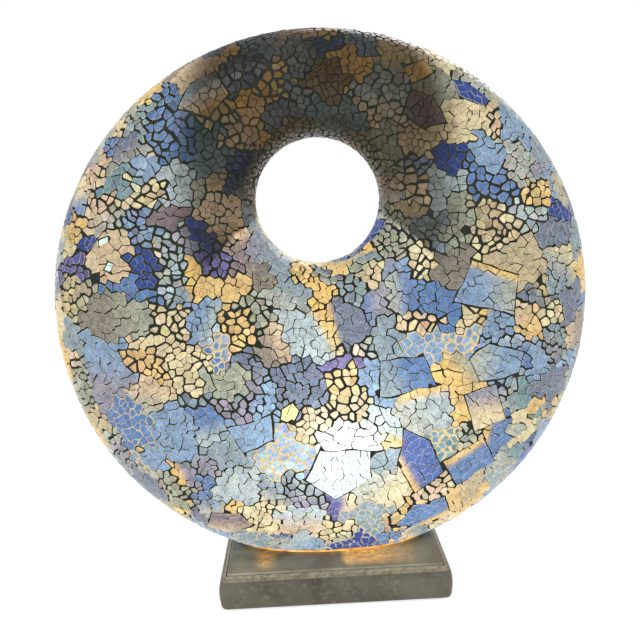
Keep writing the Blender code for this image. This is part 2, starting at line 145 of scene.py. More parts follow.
def lay(colour, style, clock, reach, length, width, turn=0, fade=None, amber=None):
    """Lays one large piece of glass on the front of the shade.

    clock is its place round the disc in hours and reach its distance out, as a part of the disc's
    radius.  Length and width are in mm, turned by turn degrees.  fade is a second colour and the side
    it fades to, in degrees from +X, and amber is the side that turns amber.
    """
    LAID.append((colour, style, clock, reach, (length * MM, width * MM), turn, fade, amber))


# The pieces that catch the eye; the earlier ones lie on top.
# The first three are painted glints: small pieces in the glint colour that stand for reflections of a light
# on the shards.
lay("painted_glint", "tile", 9.7, 0.80, 7, 4, 20)
lay("painted_glint", "tile", 9.5, 0.76, 6, 5, 60)
lay("painted_glint", "tile", 9.4, 0.81, 6, 4)
lay("yellow", "tile", 6.75, 0.36, 13, 9, 30)
lay("gold", "tile", 3.9, 0.84, 13, 10, 50)
lay("cobalt", "tile", 9.65, 0.86, 16, 8, 20)
lay("cobalt", "tight", 10.2, 0.50, 16, 13)
lay("cobalt", "tight", 1.4, 0.68, 16, 18)
lay("cobalt", "tile", 1.2, 0.92, 24, 12, -40)
lay("violet", "tight", 5.6, 0.18, 24, 12)
lay("sky", "tile", 2.8, 0.58, 38, 28, -15, fade=("grey", 0), amber=60)
lay("blue", "tile", 4.3, 0.35, 34, 24, 10, fade=("steel", 200))
lay("cobaltlight", "tile", 5.0, 0.62, 26, 34, 10, amber=240)
lay("sky", "tile", 3.6, 0.62, 34, 20, -10, fade=("grey", 180))
lay("cream", "tile", 4.1, 0.66, 22, 28, 20, fade=("lavender", 90))
lay("blue", "tile", 4.6, 0.76, 28, 24, 30, amber=120)
lay("sky", "tile", 7.1, 0.48, 26, 20, 15)
lay("ice", "tile", 5.9, 0.57, 40, 28, 10)
lay("white", "tight", 5.75, 0.46, 40, 24)
lay("steel", "tile", 11.15, 0.86, 30, 22, 30, fade=("gold", 300))
lay("gold", "loose", 11.6, 0.80, 24, 16)
lay("olive", "tight", 12.1, 0.80, 30, 22)
lay("mauve", "tile", 0.95, 0.78, 28, 20, -60)
lay("gold", "tile", 0.8, 0.90, 16, 10, 20)
lay("sky", "tight", 1.6, 0.80, 26, 22)
lay("gold", "loose", 2.1, 0.86, 24, 18)
lay("tan", "loose", 2.0, 0.64, 28, 18)
lay("slate", "tight", 2.45, 0.86, 30, 24)
lay("cream", "loose", 3.1, 0.80, 26, 20)
lay("slate", "tight", 3.7, 0.87, 30, 24)
lay("mauve", "tight", 10.15, 0.62, 24, 20)
lay("cream", "loose", 10.2, 0.76, 28, 20)
lay("slate", "tight", 10.4, 0.88, 32, 22, 40, fade=("sage", 300))
lay("taupe", "tight", 9.05, 0.74, 42, 30, 10, fade=("sage", 0))
lay("cream", "loose", 9.0, 0.53, 24, 18)
lay("steel", "tight", 8.9, 0.92, 26, 20)
lay("gold", "loose", 8.6, 0.66, 24, 18)
lay("blue", "tight", 8.1, 0.81, 36, 24, -20)
lay("sky", "tight", 7.7, 0.76, 34, 24, -30)
lay("gold", "loose", 8.8, 0.30, 22, 16)
lay("sage", "tight", 8.0, 0.42, 28, 20)
lay("peach", "loose", 3.2, 0.32, 22, 16)
lay("pale", "tight", 7.0, 0.70, 32, 24, 20)
lay("mauve", "tile", 6.9, 0.88, 30, 16, 20, fade=("peach", 270))
lay("pale", "tight", 6.3, 0.76, 34, 26, 0, fade=("peach", 270))
lay("steel", "tight", 5.7, 0.76, 32, 24)
lay("blue", "tile", 5.2, 0.86, 28, 22, 20, amber=300)
lay("steel", "cluster", 4.5, 0.92, 26, 20)

LAID_RAGGED = 0.26                    # how far a laid piece's corners stray, as a part of it
FILL_RADIUS = (6.5 * MM, 16.0 * MM)   # the other patches, laid wherever there is room
FILL_GAP = 0.80
FILL_TRIES = 9000
FILL_CLEAR = 0.25                     # room between its middle and a laid piece, per radius
FADE_SHARE = 0.45                     # share of them that fade to a second colour
AMBER_SHARE = 0.20                    # share of the cool ones that turn amber on one side
NECK_OUT = 0.09                       # above the hole, nearer ones are of the neck style
BORDER_DRIFT = (26 * MM, 5.0 * MM)    # length and size of the wander of the patches' borders,
BROAD_DRIFT = (26 * MM, 0.9 * MM)     # and of the two that bend the shards' sides
FINE_DRIFT = (8 * MM, 0.40 * MM)
TILE_DRIFT = 0.6                      # how much of those two a tile's shards take
SPACING_SPREAD = (0.60, 1.55)         # random part of a style's spacing,
CRACK_SPREAD = (0.15, 1.0)            # of its cracks,
MOAT_SPREAD = (0.30, 0.80)            # and of its moat
SHARD_TRIES = 90000
LIT_CRACKS_UP = 5 * MM                # lit cracks lie lower than this above the disc's centre
GLASS_OVER_SEAT = 0.5 * MM
GROUT_OVER_SEAT = 0.2 * MM
GROUT_STEPS = (180, 60)               # faces round the ring and across half its tube

# ---- light ---------------------------------------------------------------------------------
HOT_Z = DISC_Z - 76.0 * MM            # where the shade is brightest, front and back
HOT_X = 6.0 * MM
WHITE_FROM = 0.9                      # glass brighter than this turns white
HOT_R = 36.0 * MM
HALO_R = 80.0 * MM
HOT_LEVEL = 0.80
HALO_LEVEL = 0.66
LIT_LEVEL = 1.00
SHADOW_LEVEL = 0.07                   # light left behind the hole's tube
STUDIO_LEVEL = 0.48                   # soft light from all round
FLOOR_LIFT = 0.60                     # keeps the pale floor from going grey
SHADOW_EDGE = 24 * MM                 # the tube's shadow fades over this width
TUBE_SHADOW = 0.78                    # how wide the tube's shadow is, as a part of the tube
BULB_Z = (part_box("bulb_filament")[0].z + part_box("bulb_filament")[1].z) / 2

# ---- plinth and camera --------------------------------------------------------------------
LEDGE_Z = 20.6 * MM                   # the slab's sloping ledge starts here
# pale silver of the slab's ledge: partly rubbed wear, partly a painted highlight where the ledge faces up
LEDGE_RUB_AND_HIGHLIGHT = (0.42, 0.37, 0.26)
SEAT_GLOW_Y = (-49 * MM, -40 * MM, -25 * MM, -15 * MM)  # amber light on the panel fades in and out
SEAT_GLOW_X = (4 * MM, 8 * MM, 30 * MM, 56 * MM)
SEAT_SPOT_X = (-56 * MM, -48 * MM, -46 * MM, -38 * MM)  # a weaker spot of it on the left
SEAT_SPOT_LEVEL = 0.6
SEAT_GLOW_LEVEL = 0.8
SEAT_GLOW_COLOUR = (0.80, 0.40, 0.06, 1.0)
CAMERA_LENS = 45.0                    # mm, on a 36 mm sensor
CAMERA_SENSOR = 36.0
CAMERA_PLACE = (-12.6 * MM, -542.5 * MM, DISC_Z + 83.2 * MM)
CAMERA_TURN = -1.13                   # degrees, to the right
CAMERA_DOWN = 9.88
CAMERA_ROLL = -2.55


# ---- small helpers -------------------------------------------------------------------------
def linear(colour):
    """sRGB from 0 to 255 as linear light."""
    c = np.asarray(colour, float) / 255
    return np.where(c <= 0.04045, c / 12.92, ((c + 0.055) / 1.055) ** 2.4)


def smooth(low, high, value):
    """0 up to low, 1 from high on, and a smooth step between."""
    t = np.clip((value - low) / (high - low), 0, 1)
    return t * t * (3 - 2 * t)


def unit(vectors):
    return vectors / np.linalg.norm(vectors, axis=-1, keepdims=True)


def mix(a, b, t):
    return a + (b - a) * np.asarray(t)[..., None]


# ---- the ring's surface --------------------------------------------------------------------
def ring_point(theta, phi):
    """Points of the shade: theta goes round the ring from its top, phi round its tube from the hole.

    A negative phi is the front.
    """
    out = (1 - np.cos(phi)) / 2
    radius = HOLE_R + (DISC_R - HOLE_R) * out
    centre_z = DISC_Z + HOLE_UP * (1 - out)
    half_depth = DEPTH_TOP + (DEPTH_BOTTOM - DEPTH_TOP) * (1 - np.cos(theta)) / 2
    return np.stack([radius * np.sin(theta), half_depth * np.sin(phi),
                     centre_z + radius * np.cos(theta)], -1)


def ring_slopes(theta, phi):
    step = 1e-4
    around = (ring_point(theta + step, phi) - ring_point(theta - step, phi)) / (2 * step)
    across = (ring_point(theta, phi + step) - ring_point(theta, phi - step)) / (2 * step)
    return around, across


def ring_normal(theta, phi):
    around, across = ring_slopes(theta, phi)
    return unit(np.cross(across, around))


def outness(x, z):
    """0 at the hole and 1 at the rim, for a place on the disc; z is from the disc's centre."""
    width = DISC_R - HOLE_R
    rise = z - HOLE_UP
    a = HOLE_UP ** 2 - width ** 2
    b = 2 * (rise * HOLE_UP - HOLE_R * width)
    c = x ** 2 + rise ** 2 - HOLE_R ** 2
    root = np.sqrt(np.maximum(b * b - 4 * a * c, 0))
    return (-b - root) / (2 * a)


def front_angles(x, z):
    out = outness(x, z)
    theta = math.atan2(x, z - HOLE_UP * (1 - out))
    return theta, -math.acos(np.clip(1 - 2 * out, -1, 1))


def scatter(rng, count):
    """Random angles, spread evenly over the shade's surface."""
    around = 360
    across = 240
    theta = (np.arange(around) + 0.5) / around * 2 * math.pi
    phi = (np.arange(across) + 0.5) / across * 2 * math.pi - math.pi
    theta, phi = (grid.ravel() for grid in np.meshgrid(theta, phi, indexing="ij"))
    area = np.linalg.norm(np.cross(*ring_slopes(theta, phi)), axis=-1)
    pick = rng.choice(len(area), count, p=area / area.sum())
    theta = theta[pick] + (rng.random(count) - 0.5) / around * 2 * math.pi
    phi = phi[pick] + (rng.random(count) - 0.5) / across * 2 * math.pi
    return theta, phi


# ---- light from the bulb -------------------------------------------------------------------
def bulb_reach(points):
    """1 where the bulb shines straight onto the shade, 0 behind the tube round the hole."""
    hole = np.array([0.0, DISC_Z + HOLE_UP])
    bulb = np.array([0.0, BULB_Z])
    ray = points[:, [0, 2]] - bulb
    length = np.maximum((ray ** 2).sum(1), 1e-9)
    nearest = np.clip(ray @ (hole - bulb) / length, 0, 1)
    passing = np.linalg.norm(bulb + ray * nearest[:, None] - hole, axis=1)
    depth = np.clip(np.abs(points[:, 1]) * nearest / DEPTH_TOP, 0, 0.95)
    flare = (1 - np.sqrt(1 - depth ** 2)) / 2 * (DISC_R - HOLE_R)
    clear = passing - TUBE_SHADOW * (HOLE_R + flare)
    open_way = smooth(0.0, SHADOW_EDGE, clear)
    return np.where(nearest > 0.999, 1.0, open_way)


def glow_at(points):
    """The light behind the glass as a colour: brightest by the bulb, brown and dim in the shadow."""
    away = np.hypot(points[:, 0] - HOT_X, points[:, 2] - HOT_Z)
    facing = smooth(0.3, 0.8, np.abs(points[:, 1]) / DEPTH_BOTTOM)
    bright = HOT_LEVEL * np.exp(-(away / HOT_R) ** 2) * facing
    bright += HALO_LEVEL * np.exp(-(away / HALO_R) ** 2)
    reach = bulb_reach(points)
    direct = (LIT_LEVEL * reach + bright)[:, None] * np.ones(3)
    return direct + (SHADOW_LEVEL * (1 - reach))[:, None] * SHADE_TINT


# ---- patches of glass ----------------------------------------------------------------------
def plane_axes(normal):
    """Level and upright directions in the plane with that normal."""
    level = np.cross([0.0, 0.0, 1.0], normal)
    if np.linalg.norm(level) < 0.1:
        level = np.array([-1.0, 0.0, 0.0])
    level = unit(level)
    return level, np.cross(normal, level)


class Patch:
    """One piece of coloured glass, broken into shards: a laid outline, or a filler with a radius."""

    def __init__(self, theta, phi, style, colour):
        self.middle = ring_point(np.array([theta]), np.array([phi]))[0]
        self.normal = ring_normal(np.array([theta]), np.array([phi]))[0]
        self.level, self.upright = plane_axes(self.normal)
        self.style = style
        self.look = STYLES[style]
        self.colour = colour
        self.sides = []
        self.radius = 0.0
        self.fade = None
        self.fade_way = None
        self.amber_way = None
        self.amber_side = None
        self.lit_cracks = False

    def way(self, degrees):
        turn = math.radians(degrees)
        return math.cos(turn) * self.level + math.sin(turn) * self.upright

    def set_outline(self, flat):
        """Takes corners in the patch's plane, anticlockwise, and keeps the sides of their outline."""
        for (ax, ay), (bx, by) in zip(flat, flat[1:] + flat[:1]):
            outward = np.array([by - ay, ax - bx])
            outward /= max(np.linalg.norm(outward), 1e-9)
            direction = outward[0] * self.level + outward[1] * self.upright
            self.sides.append((direction, float(outward @ (ax, ay))))
        self.radius = max(math.hypot(*p) for p in flat)
        self.size = float(np.mean([distance for direction, distance in self.sides]))

    def most_outside(self, point):
        """The side that the point is furthest beyond, and by how much (negative inside)."""
        away = point - self.middle
        beyond = [float(direction @ away) - distance for direction, distance in self.sides]
        worst = int(np.argmax(beyond))
        return worst, beyond[worst]

    def holds(self, points):
        away = points - self.middle
        inside = np.abs(away @ self.normal) < LAID_REACH
        for direction, distance in self.sides:
            inside &= away @ direction < distance
        return inside

    def colours_at(self, points):
        """The colour of the glass at points of this patch, before its shards vary."""
        colours = np.tile(linear(GLASS[self.colour]), (len(points), 1))
        away = points - self.middle
        if self.fade:
            along = away @ self.fade_way / self.size
            colours = mix(colours, linear(GLASS[self.fade]), smooth(-0.5, 0.95, along))
        if self.amber_side is not None:
            direction, distance = self.sides[self.amber_side]
            inward = distance - away @ direction
            colours = mix(colours, linear(GLASS["amber"]), 1 - smooth(AMBER_START, AMBER_END, inward))
        elif self.amber_way is not None:
            along = away @ self.amber_way / self.size
            colours = mix(colours, linear(GLASS["amber"]), smooth(0.45, 0.9, along))
        return colours


def laid_outline(rng, style, size, turn):
    """Corners of a laid piece in its plane: four or five for a tile, seven for a broken lump."""
    count = int(rng.integers(4, 6)) if style == "tile" else 7
    start = math.pi / count
    stretch = 1 / math.cos(start)
    corners = []
    for i in range(count):
        angle = start + 2 * math.pi * i / count
        x = math.cos(angle) * stretch * size[0] / 2 * (1 + rng.uniform(-LAID_RAGGED, LAID_RAGGED))
        y = math.sin(angle) * stretch * size[1] / 2 * (1 + rng.uniform(-LAID_RAGGED, LAID_RAGGED))
        spin = math.radians(turn)
        corners.append((x * math.cos(spin) - y * math.sin(spin), x * math.sin(spin) + y * math.cos(spin)))
    return corners


def laid_patches(rng):
    patches = []
    for colour, style, clock, reach, size, turn, fade, amber in LAID:
        around = 2 * math.pi * clock / 12
        theta, phi = front_angles(reach * DISC_R * math.sin(around), reach * DISC_R * math.cos(around))
        patch = Patch(theta, phi, style, colour)
        patch.set_outline(laid_outline(rng, style, size, turn))
        if fade:
            patch.fade = fade[0]
            patch.fade_way = patch.way(fade[1])
        if amber is not None:
            facing = [float(direction @ patch.way(amber)) for direction, distance in patch.sides]
            patch.amber_side = int(np.argmax(facing))
        patches.append(patch)
    return patches


def filler_look(rng, middle):
    """Style, colour and fade of a filler: a little bluer on the right and towards the foot."""
    x = middle[0] / DISC_R
    z = (middle[2] - DISC_Z) / DISC_R
    cool = np.clip(0.61 + 0.08 * x - 0.12 * z, 0.4, 0.85)
    if rng.random() < cool:
        names = ("steel", "blue", "sky", "pale", "slate", "lavender", "teal", "cobaltlight",
                 "violetdeep", "cobalt", "violet")
        odds = (0.18, 0.18, 0.16, 0.10, 0.12, 0.07, 0.04, 0.06, 0.03, 0.04, 0.02)
        fades = ("grey", "pale", "sage", "lavender", "cream")
    else:
        names = ("tan", "cream", "gold", "sage", "peach", "taupe", "amber", "grey", "mauve")
        odds = (0.20, 0.22, 0.13, 0.14, 0.09, 0.10, 0.04, 0.05, 0.03)
        fades = ("sage", "grey", "tan", "peach", "gold")
    colour = str(rng.choice(names, p=odds))
    style = str(rng.choice(("tight", "cluster", "loose"), p=(0.42, 0.24, 0.34)))
    fade = str(rng.choice(fades)) if rng.random() < FADE_SHARE else None
    inner = outness(middle[0], middle[2] - DISC_Z) < NECK_OUT
    if inner and middle[2] > DISC_Z + HOLE_UP:
        style = "neck"
        colour = str(rng.choice(("slate", "mauve", "cobalt", "lavender", "pale", "taupe", "grey")))
    return style, colour, fade


def fill_patches(rng, laid):
    """Patches wherever the laid ones leave room; each takes the shards that lie nearest to it."""
    patches = []
    middles = np.zeros((0, 3))
    radii = np.zeros(0)
    for theta, phi in zip(*scatter(rng, FILL_TRIES)):
        middle = ring_point(np.array([theta]), np.array([phi]))[0]
        radius = rng.uniform(*FILL_RADIUS)
        draw = rng.integers(1 << 30)
        if len(radii) and (np.linalg.norm(middles - middle, axis=1) < FILL_GAP * (radii + radius)).any():
            continue
        if any(np.linalg.norm(p.middle - middle) < p.radius + radius
               and p.most_outside(middle)[1] < FILL_CLEAR * radius for p in laid):
            continue
        own = np.random.default_rng(draw)
        style, colour, fade = filler_look(own, middle)
        patch = Patch(theta, phi, style, colour)
        patch.radius = radius
        patch.size = radius
        if fade:
            patch.fade = fade
            patch.fade_way = patch.way(own.uniform(0, 360))
        if colour in COOL and own.random() < AMBER_SHARE:
            patch.amber_way = patch.way(own.uniform(0, 360))
        patches.append(patch)
        middles = np.vstack([middles, middle])
        radii = np.append(radii, radius)
    return patches


# ---- shards --------------------------------------------------------------------------------
def apart(points, spacing):
    """The indices of points kept so that each is its own spacing away from the ones before it."""
    size = float(spacing.max())
    cells = {}
    chosen = []
    keys = np.floor(points / size).astype(int).tolist()
    around = [(i, j, k) for i in (-1, 0, 1) for j in (-1, 0, 1) for k in (-1, 0, 1)]
    for index, (key, point) in enumerate(zip(keys, points.tolist())):
        least = spacing[index] ** 2
        near = (other for i, j, k in around
                for other in cells.get((key[0] + i, key[1] + j, key[2] + k), ()))
        if all(sum((a - b) ** 2 for a, b in zip(point, other)) >= least for other in near):
            cells.setdefault(tuple(key), []).append(point)
            chosen.append(index)
    return np.array(chosen)


def tree_of(points):
    tree = KDTree(len(points))
    for index, point in enumerate(points):
        tree.insert(point, index)
    tree.balance()
    return tree


def clip(outline, nx, ny, limit):
    """The part of a convex outline where nx * x + ny * y is at most limit."""
    kept = []
    for (ax, ay), (bx, by) in zip(outline, outline[1:] + outline[:1]):
        side_a = nx * ax + ny * ay - limit
        side_b = nx * bx + ny * by - limit
        if side_a <= 0:
            kept.append((ax, ay))
        if side_a * side_b < 0:
            t = side_a / (side_a - side_b)
            kept.append((ax + t * (bx - ax), ay + t * (by - ay)))
    return kept


def area_of(outline):
    return sum(ax * by - bx * ay for (ax, ay), (bx, by)
               in zip(outline, outline[1:] + outline[:1])) / 2


def without_short_sides(outline):
    kept = []
    for x, y in outline:
        if not kept or math.hypot(x - kept[-1][0], y - kept[-1][1]) > SHORTEST_SIDE:
            kept.append((x, y))
    while len(kept) > 1 and math.hypot(kept[0][0] - kept[-1][0], kept[0][1] - kept[-1][1]) <= SHORTEST_SIDE:
        kept.pop()
    return kept


def worked(outline, corner):
    """The outline with points along its long sides, and its corners cut back unless corner is 0."""
    points = []
    count = len(outline)
    for i in range(count):
        ax, ay = outline[i]
        bx, by = outline[(i + 1) % count]
        length = math.hypot(bx - ax, by - ay)
        cut = min(corner, 0.3 * length) / length
        steps = 1 + int(length * (1 - 2 * cut) / LONGEST_SIDE)
        last = steps + 1 if cut > 0 else steps
        for step in range(last):
            t = cut + (1 - 2 * cut) * step / steps
            points.append((ax + t * (bx - ax), ay + t * (by - ay)))
    return points


class Wander:
    """A smooth random drift of points, the same for all who pass the same place."""

    def __init__(self, rng, length, size, waves=7):
        self.waves = unit(rng.normal(size=(waves, 3))) * rng.uniform(0.7, 1.4, (waves, 1))
        self.waves *= 2 * math.pi / length
        self.turns = rng.uniform(0, 2 * math.pi, waves)
        self.ways = unit(rng.normal(size=(waves, 3))) * size / math.sqrt(waves / 2)

    def at(self, points):
        return np.sin(points @ self.waves.T + self.turns) @ self.ways


class Shards:
    """All the shards: where each lies, its own plane, and its outline in that plane."""

    def __init__(self, rng):
        self.laid = laid_patches(rng)
        self.patches = self.laid + fill_patches(rng, self.laid)
        self.mark_lit_cracks(rng)
        self.fillers = self.patches[len(self.laid):]
        self.filler_middles = np.array([p.middle for p in self.fillers])
        radii = np.array([p.radius for p in self.fillers])
        self.filler_power = (self.filler_middles ** 2).sum(1) - radii ** 2
        self.border_drift = Wander(rng, *BORDER_DRIFT)
        theta, phi = scatter(rng, SHARD_TRIES)
        points = ring_point(theta, phi)
        owner = self.owners_of(points)
        spacing = np.array([self.patches[i].look["spacing"] for i in owner])
        chosen = apart(points, spacing * rng.uniform(*SPACING_SPREAD, len(points)))
        self.points = points[chosen]
        self.owner = owner[chosen]
        self.normals = ring_normal(theta[chosen], phi[chosen])
        self.u = unit(np.cross(self.normals, [0.31, 0.11, 0.94]))
        self.v = np.cross(self.normals, self.u)
        self.group = self.groups(rng, points)
        self.drifts = (Wander(rng, *BROAD_DRIFT), Wander(rng, *FINE_DRIFT))
        self.cut_cells(rng)

    def mark_lit_cracks(self, rng):
        for patch in self.patches:
            low = patch.middle[2] < DISC_Z + LIT_CRACKS_UP
            patch.lit_cracks = bool(patch.colour in COOL and low and rng.random() < LIT_CRACKS)

    def owners_of(self, points):
        """The patch of each point: the topmost laid piece that holds it, or the nearest filler."""
        strayed = points + self.border_drift.at(points)
        power = self.filler_power - 2 * strayed @ self.filler_middles.T
        owner = power.argmin(1) + len(self.laid)
        for index in reversed(range(len(self.laid))):
            patch = self.laid[index]
            owner[patch.holds(points if patch.style == "tile" else strayed)] = index
        return owner

    def groups(self, rng, tries):
        """A number for each shard, shared by the shards that only hairlines part."""
        found = []
        for spacing in (GROUP_SPACING, LOOSE_GROUP_SPACING):
            tree = tree_of(tries[apart(tries, np.full(len(tries), spacing))])
            found.append([tree.find(point)[1] for point in self.points])
        loose = np.array([patch.style in ("loose", "neck") for patch in self.patches])[self.owner]
        return np.where(loose, found[1], found[0])

    def cut_cells(self, rng):
        tree = tree_of(self.points)
        turns = [2 * math.pi * i / FIRST_CELL_SIDES for i in range(FIRST_CELL_SIDES)]
        first = [(CELL_R * math.cos(t), CELL_R * math.sin(t)) for t in turns]
        self.glass = []
        self.bed = []
        for index, point in enumerate(self.points):
            near = [found[1] for found in tree.find_range(point, REACH) if found[1] != index]
            glass, bed = self.cut_cell(index, near, first, rng)
            patch = self.patches[self.owner[index]]
            glass = without_short_sides(glass)
            big = len(glass) >= 3 and area_of(glass) > SMALLEST_SHARD
            corner = patch.look["round"]
            self.glass.append(self.drifted(index, worked(glass, corner)) if big else None)
            bed = without_short_sides(bed)
            shows = big and patch.lit_cracks and len(bed) >= 3
            self.bed.append(self.drifted(index, worked(bed, 0.0)) if shows else None)

    def cut_cell(self, index, near, first, rng):
        """Cuts a shard's outline, and the outline of the bed under it, by what lies round it."""
        glass = first
        bed = first
        owner = self.owner[index]
        patch = self.patches[owner]
        look = patch.look
        point = self.points[index]
        u = self.u[index]
        v = self.v[index]
        for other in near:
            if self.straight_between(owner, self.owner[other]):
                continue
            away = self.points[other] - point
            x = float(away @ u)
            y = float(away @ v)
            flat = max(math.hypot(x, y), 1e-6)
            reach = float(away @ away) / 2 / flat
            gap = look["hair"] if self.group[other] == self.group[index] else look["crack"]
            if self.owner[other] != owner:
                gap = look["moat"]
            gap *= rng.uniform(*CRACK_SPREAD)
            glass = clip(glass, x / flat, y / flat, reach - gap)
            bed = clip(bed, x / flat, y / flat, reach)
        moat = look["moat"] * rng.uniform(*MOAT_SPREAD)
        cuts = []
        if patch.style == "tile":
            cuts += [self.side_cut(patch, side, point) for side in range(len(patch.sides))]
        cuts += [self.keep_off(tile, point) for tile, other in enumerate(self.laid)
                 if tile < owner and other.style == "tile"
                 and np.abs(other.middle - point).max() < other.radius + CELL_R]
        cuts.append((np.array([0.0, 0.0, -1.0]), point[2] - SEAT_Z - GLASS_OVER_SEAT + moat))
        for direction, limit in filter(None, cuts):
            nx = float(direction @ u)
            ny = float(direction @ v)
            glass = clip(glass, nx, ny, limit - moat)
            bed = clip(bed, nx, ny, limit - moat)
        return glass, bed

    def straight_between(self, one, other):
        """True where the upper of two patches is a tile, whose own sides part them."""
        return one != other and self.patches[min(one, other)].style == "tile"

    def side_cut(self, patch, side, point):
        direction, distance = patch.sides[side]
        return direction, distance - float(direction @ (point - patch.middle))

    def keep_off(self, tile, point):
        """The cut that keeps a shard off a laid piece that it lies beside."""
        patch = self.laid[tile]
        if abs(float((point - patch.middle) @ patch.normal)) > LAID_REACH:
            return None
        side, beyond = patch.most_outside(point)
        if beyond < 0:
            return None
        direction, limit = self.side_cut(patch, side, point)
        return -direction, -limit

    def in_plane(self, index, flat):
        return self.points[index] + flat[:, :1] * self.u[index] + flat[:, 1:] * self.v[index]

    def drifted(self, index, outline):
        """The outline with the drift of the glass: straight-edged tiles drift less."""
        still = TILE_DRIFT if self.patches[self.owner[index]].style == "tile" else 1.0
        flat = np.array(outline)
        drift = sum(wander.at(self.in_plane(index, flat)) for wander in self.drifts) * still
        flat[:, 0] += drift @ self.u[index]
        flat[:, 1] += drift @ self.v[index]
        return flat

    def place(self, index, flat, height, tilt=(0.0, 0.0)):
        """Points of an outline in the shard's plane, lifted by height and tilted."""
        lift = height + flat[:, 0] * tilt[0] + flat[:, 1] * tilt[1]
        return self.in_plane(index, flat) + lift[:, None] * self.normals[index]


def inset(flat, width):
    """An outline drawn in towards its middle by about width."""
    middle = flat.mean(0)
    size = np.linalg.norm(flat - middle, axis=1).mean()
    return middle + (flat - middle) * max(1 - width / size, 0.4)


def prism_faces(first, count, rings):
    """Faces of a closed prism whose rings of points start at first, top ring first."""
    faces = [tuple(range(first, first + count))]
    for ring in range(rings - 1):
        upper = first + ring * count
        lower = upper + count
        for i in range(count):
            j = (i + 1) % count
            faces.append((upper + i, lower + i, lower + j, upper + j))
    last = first + (rings - 1) * count
    faces.append(tuple(reversed(range(last, last + count))))
    return faces


def glass_colours(shards, points, owner):
    colours = np.zeros((len(points), 3))
    for index in np.unique(owner):
        mine = owner == index
        colours[mine] = shards.patches[index].colours_at(points[mine])
    return colours


def add_glass(name, node, shards, members, rng):
    """One piece that holds many bevelled shards; their tint and glow are in its point colours."""
    points = []
    faces = []
    owner = []
    rim = []
    tone = []
    first = 0
    for index in members:
        flat = shards.glass[index]
        look = shards.patches[shards.owner[index]].look
        tilt = rng.normal(0, look["tilt"], 2)
        lift = GLASS_PROUD + rng.uniform(-UNEVEN, UNEVEN)
        count = len(flat)
        points.append(shards.place(index, inset(flat, BEVEL), lift, tilt))
        points.append(shards.place(index, flat, lift - BEVEL, tilt))
        points.append(shards.place(index, flat, lift - GLASS_T))
        faces.extend(prism_faces(first, count, 3))
        first += 3 * count
        own = np.clip(rng.normal(1.0, look["vary"]), 0.6, 1.4) * (1 + rng.normal(0, 0.5 * look["vary"], 3))
        owner.append(np.full(3 * count, shards.owner[index]))
        rim.append(np.repeat([0.0, 1.0, 0.5], count))
        tone.append(np.tile(own, (3 * count, 1)))
    points = np.concatenate(points)
    colours = glass_colours(shards, points, np.concatenate(owner)) * np.concatenate(tone)
    light = glow_at(points)
    lit = mix(colours, linear(RIM_LIGHT), RIM_SHARE * np.concatenate(rim)) * light
    over = np.clip(lit.max(1) - WHITE_FROM, 0, 1)
    lit = mix(lit, np.full(3, 1.0), 0.5 * over)
    obj = piece_from(name, points, faces, GLASS_MATERIAL, node)
    paint(obj, "glow", lit)
    paint(obj, "tint", colours)


def add_bed(name, node, shards, members):
    """The clear adhesive between the shards of some patches, which lights their cracks."""
    points = []
    faces = []
    first = 0
    for index in members:
        flat = shards.bed[index]
        points.append(shards.place(index, flat, -BED_SINK))
        points.append(shards.place(index, flat, -BED_SINK - BED_T))
        faces.extend(prism_faces(first, len(flat), 2))
        first += 2 * len(flat)
    points = np.concatenate(points)
    crack = np.tile(linear(CRACK_LIGHT), (len(points), 1))
    obj = piece_from(name, points, faces, BED_MATERIAL, node)
    paint(obj, "glow", crack * np.minimum(glow_at(points), 1.3))
    paint(obj, "tint", 0.3 * crack)


def mosaic_piece(mesh, material, node):
    """The object of a mesh that stands for one packed half of the mosaic."""
    mesh.materials.append(material)
    obj = bpy.data.objects.new(mesh.name, mesh)
    bpy.context.scene.collection.objects.link(obj)
    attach(obj, "lamp")
    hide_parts(node)
    return obj


def piece_from(name, points, faces, material, node):
    mesh = bpy.data.meshes.new(name)
    mesh.from_pydata(points.tolist(), [], faces)
    return mosaic_piece(mesh, material, node)


def paint(obj, name, colours):
    """Stores a colour for each point of a mesh."""
    layer = obj.data.color_attributes.new(name, "FLOAT_COLOR", "POINT")
    rgba = np.ones((len(colours), 4), np.float32)
    rgba[:, :3] = np.maximum(colours, 0)
    layer.data.foreach_set("color", rgba.ravel())


def add_grout(name, node, sign):
    """The grout skin of one half of the shade, a thin closed shell cut flat under the ring."""
    around, across = GROUT_STEPS
    theta = np.linspace(0, 2 * math.pi, around, endpoint=False)
    phi = np.linspace(0, math.pi, across + 1) * sign
    bm = bmesh.new()
    rows = []
    for p in phi:
        flat = np.full(around, p)
        places = ring_point(theta, flat) - GROUT_SINK * ring_normal(theta, flat)
        rows.append([bm.verts.new(place) for place in places])
    for low, high in zip(rows, rows[1:]):
        for i in range(around):
            j = (i + 1) % around
            quad = (low[i], low[j], high[j], high[i])
            bm.faces.new(quad if sign < 0 else tuple(reversed(quad)))
    everything = bm.verts[:] + bm.edges[:] + bm.faces[:]
    bmesh.ops.bisect_plane(bm, geom=everything, plane_co=(0, 0, SEAT_Z + GROUT_OVER_SEAT),
                           plane_no=(0, 0, -1), clear_outer=True)
    for face in bm.faces:
        face.smooth = True
    mesh = bpy.data.meshes.new(name)
    bm.to_mesh(mesh)
    bm.free()
    thicken = mosaic_piece(mesh, GROUT_MATERIAL, node).modifiers.new("Solidify", "SOLIDIFY")
    thicken.thickness = GROUT_T
    thicken.offset = -1


